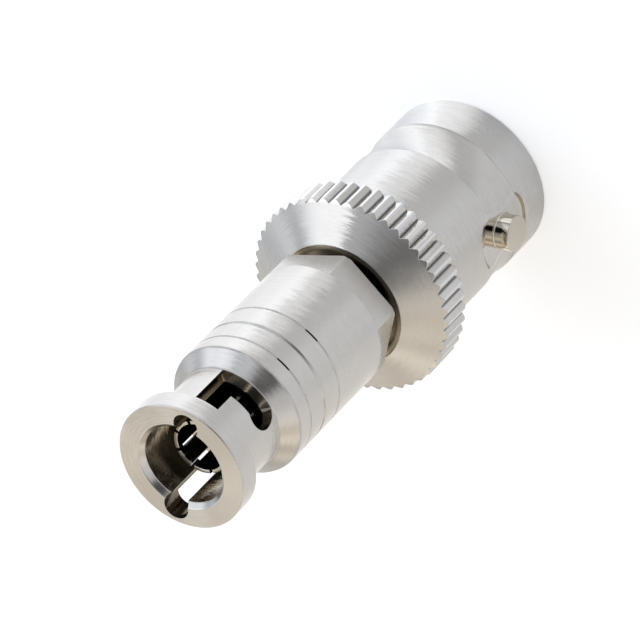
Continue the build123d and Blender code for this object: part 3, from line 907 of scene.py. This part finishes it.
RIGHT_LIGHTS += [(32, 50, 6, 13, PLAIN, 0.2), (95, 64, 8, 15, WARM, 0.12)]
REAR_LIGHT = [(180, 46, 4, 30, WARM, 0.65)]
DIM_FRONT = [(-20, 46, 4, 30, PLAIN, 0.15), (20, 46, 4, 30, PLAIN, 0.1)]
DIM_TOP = [(0, 88, 3, 22, PLAIN, 0.1), (0, 70, 3, 22, PLAIN, 0.1), (60, 70, 3, 22, PLAIN, 0.1)]
DIM_TOP += [(180, 70, 3, 22, PLAIN, 0.15), (-60, 70, 3, 22, COOL, 0.3), (-85, 64, 4, 16, PLAIN, 0.25)]
LIGHTS = LOW_WALL + LEFT_LIGHTS + RIGHT_LIGHTS + REAR_LIGHT + DIM_FRONT + DIM_TOP
# The tall lights on the left, which a flag cuts off along one edge: directions on the lit side lie within
# an angle of the flag's middle, so the edge falls on a straight line down each turned face
FLAGGED = [(-100, 46, 4, 30, COOL, 0.9), (-112, 56, 8, 24, PLAIN, 0.7)]
FLAG = (-123, 0, 66, 68)
# A dark patch ahead: angle from the front, elevation, full within, none beyond, and how much light it takes
DARK = (0, 45, 9, 19, 0.98)
# Pools of light on the floor near the part, brighter on the left: angle from the front, tint, strength
POOLS = [
    (-180, PLAIN, 0.4), (-150, PLAIN, 0.45), (-120, COOL, 0.3), (-90, COOL, 0.6), (-60, COOL, 0.5),
    (0, ICY, 0.1), (30, ICY, 0.16), (60, ICY, 0.07), (90, PLAIN, 0.2), (120, WARM, 0.08), (150, WARM, 0.3),
]
# Close to the shell, one more pool, and a patch of painted shade where the floor is darker in reflections:
# angle from the front, full within, none beyond
CLOSE_POOL, CLOSE_STRENGTH, SHADED_PATCH = (-46, 8, 28), 0.35, (-105, 22, 44)
# The floor's colour and its darker one for the painted shade, the glow that lifts it to white for the camera,
# and the distances from the part, in metres, between which the pools and what is close to the shell fade out
FLOOR, SHADED_FLOOR, FLOOR_GLOW = (0.92, 0.92, 0.92, 1), (0.45, 0.45, 0.45, 1), 0.42
FAR_FADE, CLOSE_FADE = (0.045, 0.075), (0.006, 0.013)
FLOOR_REACH, FLOOR_DROP = 900, 0.02


def tinted(tint, strength):
    """Colour of a light: its tint times its strength."""
    return tuple(part * strength for part in tint)


def floor_material():
    """Pale floor, shaded by the studio and so darker under the part. Where the camera looks at it a glow
    lifts it to white, and a reflection also shows pools of light within a few centimetres of the part and a
    patch of painted shade close to the shell."""
    made = bpy.data.materials.new("pale_floor")
    made.use_nodes = True
    tree = made.node_tree
    tree.nodes.clear()
    ray = tree.nodes.new("ShaderNodeLightPath").outputs
    place = tree.nodes.new("ShaderNodeTexCoord").outputs["Object"]
    far, way = vectors(tree, "LENGTH", place), vectors(tree, "NORMALIZE", place)
    near = ramp(tree, far, *FAR_FADE, 1.0, 0.0, "SMOOTHSTEP")
    close = ramp(tree, far, *CLOSE_FADE, 1.0, 0.0)

    def patch(angle, core, rim, colour):
        """Soft patch of the floor that lies in one direction from the part."""
        return soft_box(tree, way, around(angle), core, rim, colour)

    pools = [patch(angle, 4, 38, tinted(tint, strength)) for angle, tint, strength in POOLS]
    pools.append(vectors(tree, "SCALE", patch(*CLOSE_POOL, tinted(PLAIN, CLOSE_STRENGTH)), scale=close))
    # Painted shade: in reflections close to the shell the floor's colour turns darker
    painted_shade = vectors(tree, "SCALE", patch(*SHADED_PATCH, (1, 1, 1)), scale=both(tree, close, ray["Is Glossy Ray"]))
    matt = tree.nodes.new("ShaderNodeBsdfDiffuse")
    tree.links.new(mixed(tree, painted_shade, FLOOR, SHADED_FLOOR), matt.inputs["Color"])
    seen = maths(tree, "ADD", ray["Is Glossy Ray"], ray["Is Transmission Ray"])
    glow = tree.nodes.new("ShaderNodeEmission")
    tree.links.new(total(tree, pools), glow.inputs["Color"])
    tree.links.new(both(tree, near, seen), glow.inputs["Strength"])
    white = node(tree, "ShaderNodeEmission", Color=(1, 1, 1, 1))
    tree.links.new(both(tree, ray["Is Camera Ray"], FLOOR_GLOW), white.inputs["Strength"])
    surface = matt.outputs[0]
    for added in (glow, white):
        lit = tree.nodes.new("ShaderNodeAddShader")
        tree.links.new(surface, lit.inputs[0])
        tree.links.new(added.outputs[0], lit.inputs[1])
        surface = lit.outputs[0]
    tree.links.new(surface, tree.nodes.new("ShaderNodeOutputMaterial").inputs[0])
    return made


ends = (-FLOOR_REACH, FLOOR_REACH)
corners = np.array([[(x, y, -FLOOR_DROP) for x in ends] for y in ends], float)
ground = grid_mesh("floor", corners, False, False)
ground.data.materials.append(floor_material())

world = bpy.data.worlds.new("studio")
bpy.context.scene.world = world
world.use_nodes = True
sky = world.node_tree
direction = sky.nodes.new("ShaderNodeTexCoord").outputs["Generated"]


def lights(plan):
    """Sum of a list of lights in the sky."""
    return total(sky, [
        soft_box(sky, direction, around(angle, height), core, rim, tinted(tint, strength))
        for angle, height, core, rim, tint, strength in plan
    ])


angle, height, core, rim = FLAG
lit_side = soft_box(sky, direction, around(angle, height), core, rim, (1, 1, 1))
flagged = vectors(sky, "MULTIPLY", lights(FLAGGED), lit_side)
angle, height, core, rim, taken = DARK
shade = soft_box(sky, direction, around(angle, height), core, rim, (taken, taken, taken))
whole = total(sky, [lights(LIGHTS), flagged])
dimmed = vectors(sky, "MULTIPLY", whole, vectors(sky, "SUBTRACT", (1, 1, 1), shade))
sky.links.new(dimmed, sky.nodes["Background"].inputs["Color"])
bpy.context.scene.view_settings.view_transform = "Standard"
